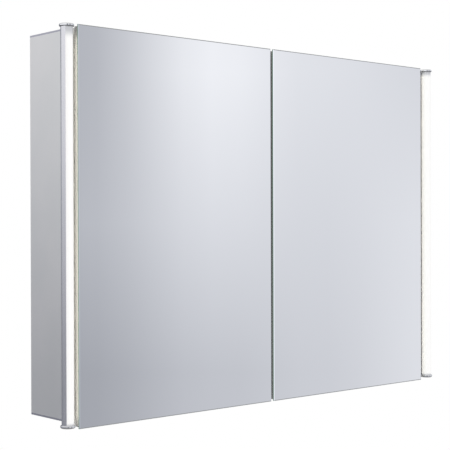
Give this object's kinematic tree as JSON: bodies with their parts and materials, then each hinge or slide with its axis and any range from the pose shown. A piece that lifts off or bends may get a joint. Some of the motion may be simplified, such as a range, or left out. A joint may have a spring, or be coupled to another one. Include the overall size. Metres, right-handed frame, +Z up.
{
  "type": "medicine cabinet with mirror",
  "caption": "Shallow wall-hung bathroom cabinet with two mirror doors, glass shelves and a vertical light tube at each front corner.",
  "frame": {"origin": "centre of the wall plane, at mid-height of the cabinet", "axes": "+X to the right seen from the front, +Y into the wall, +Z up; the doors face -Y"},
  "size_m": [0.9222, 0.1191, 0.65],
  "materials": {
    "anodised_aluminium": "satin silver anodised",
    "post_aluminium": "matt silver anodised",
    "frame_aluminium": "matt champagne-silver anodised",
    "anodised_edge": "satin silver anodised, folded edge",
    "painted_liner": "satin light grey powder coat",
    "rail_aluminium": "brushed anodised",
    "plated_steel": "zinc plated",
    "bright_steel": "bright nickel plated",
    "shelf_glass": "clear, ground edges",
    "tube_shell": "satin anodised",
    "opal_diffuser": "satin opal, lit from inside",
    "polished_chrome": "polished",
    "circuit_board": "white solder mask",
    "led_phosphor": "phosphor dome",
    "mirror_glass": "silvered, polished edge",
    "bonding_film": "adhesive film",
    "magnet_nickel": "nickel plated",
    "clear_rubber": "translucent",
    "driver_case": "fine spark texture",
    "wire_insulation": "extruded sheath",
    "sensor_window": "dark infrared window",
    "black_rubber": "moulded"
  },
  "bodies": {
    "cabinet": {"back_panel": "painted_liner", "bottom_panel": "anodised_edge", "cable_grommet": "black_rubber", "catch_magnets": "magnet_nickel", "centre_divider": "painted_liner", "divider_front_strip": "post_aluminium", "driver_leads": "wire_insulation", "front_post_left": "post_aluminium", "front_post_right": "post_aluminium", "glass_shelf_lower_left": "shelf_glass", "glass_shelf_lower_right": "shelf_glass", "glass_shelf_upper_left": "shelf_glass", "glass_shelf_upper_right": "shelf_glass", "hinge_arms_left": "plated_steel", "hinge_arms_right": "plated_steel", "hinge_nuts": "plated_steel", "hinge_studs": "plated_steel", "led_board_left": "circuit_board", "led_board_right": "circuit_board", "led_chips": "led_phosphor", "led_driver": "driver_case", "sensor_cable": "wire_insulation", "sensor_duct": "driver_case", "sensor_housing": "driver_case", "sensor_lens": "sensor_window", "service_fascia": "painted_liner", "service_tray": "painted_liner", "shelf_pegs": "bright_steel", "shelf_pilasters": "rail_aluminium", "side_panel_left": "anodised_aluminium", "side_panel_right": "anodised_aluminium", "terminal_block": "driver_case", "top_panel": "anodised_edge", "tube_cap_bottom_left": "polished_chrome", "tube_cap_bottom_right": "polished_chrome", "tube_cap_screws": "bright_steel", "tube_cap_top_left": "polished_chrome", "tube_cap_top_right": "polished_chrome", "tube_diffuser_left": "opal_diffuser", "tube_diffuser_right": "opal_diffuser", "tube_harness": "wire_insulation", "tube_shell_left": "tube_shell", "tube_shell_right": "tube_shell", "wall_fixing_plates": "plated_steel"},
    "door_left": {"bonding_film_left": "bonding_film", "door_buffers_left": "clear_rubber", "door_frame_left": "frame_aluminium", "front_mirror_left": "mirror_glass", "hinge_leaves_left": "plated_steel", "hinge_pins_left": "bright_steel", "inner_mirror_left": "mirror_glass", "strike_plates_left": "plated_steel"},
    "door_right": {"bonding_film_right": "bonding_film", "door_buffers_right": "clear_rubber", "door_frame_right": "frame_aluminium", "front_mirror_right": "mirror_glass", "hinge_leaves_right": "plated_steel", "hinge_pins_right": "bright_steel", "inner_mirror_right": "mirror_glass", "strike_plates_right": "plated_steel"}
  },
  "joints": [
    {"name": "door_left_hinge", "type": "hinge", "parent": "cabinet", "child": "door_left", "pos_m": [-0.42, -0.0985, 0], "axis": [0, 0, -1], "range_deg": [0, 100]},
    {"name": "door_right_hinge", "type": "hinge", "parent": "cabinet", "child": "door_right", "pos_m": [0.42, -0.0985, 0], "axis": [0, 0, 1], "range_deg": [0, 100]}
  ]
}
